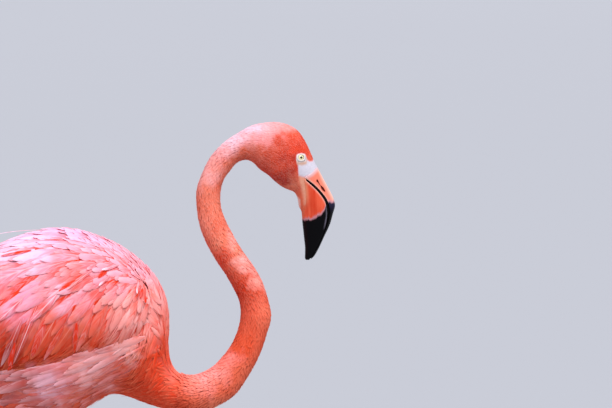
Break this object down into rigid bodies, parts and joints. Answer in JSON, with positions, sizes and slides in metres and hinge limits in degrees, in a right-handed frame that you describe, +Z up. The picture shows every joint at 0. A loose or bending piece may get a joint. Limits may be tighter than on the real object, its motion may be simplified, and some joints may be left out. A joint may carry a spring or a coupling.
{
  "type": "flamingo model",
  "caption": "Life-size still model of an adult flamingo standing with its neck in an S and its bill pointing down.",
  "frame": {"origin": "on the ground, under the middle of the bird's bounding box", "axes": "+X the way the bird faces, +Y its left side, +Z up"},
  "size_m": [0.7376, 0.21, 0.963],
  "materials": {
    "plumage": "soft overlapping feathers, coral to pale pink",
    "neck_plumage": "short dense feathers, coral red",
    "flight_feather": "satin black vane",
    "bill": "satin horn, pink with a black tip",
    "eye": "wet gloss, pale yellow iris and black pupil",
    "leg_skin": "scaly bare skin, pink with redder joints",
    "claw": "dull dark horn"
  },
  "bodies": {
    "root": {"ankle_left": "leg_skin", "ankle_right": "leg_skin", "bill_lower": "bill", "bill_upper": "bill", "claw_left_hind": "claw", "claw_left_inner": "claw", "claw_left_middle": "claw", "claw_left_outer": "claw", "claw_right_hind": "claw", "claw_right_inner": "claw", "claw_right_middle": "claw", "claw_right_outer": "claw", "eye_left": "eye", "eye_right": "eye", "foot_left": "leg_skin", "foot_right": "leg_skin", "head": "neck_plumage", "neck_base": "neck_plumage", "neck_bend": "neck_plumage", "neck_low": "neck_plumage", "neck_middle": "neck_plumage", "neck_nape": "neck_plumage", "neck_upper": "neck_plumage", "primaries_left": "flight_feather", "primaries_right": "flight_feather", "tail": "plumage", "tarsus_left": "leg_skin", "tarsus_right": "leg_skin", "thigh_left": "plumage", "thigh_right": "plumage", "tibia_left": "leg_skin", "tibia_right": "leg_skin", "trunk": "plumage", "wing_left": "plumage", "wing_right": "plumage"}
  },
  "joints": []
}
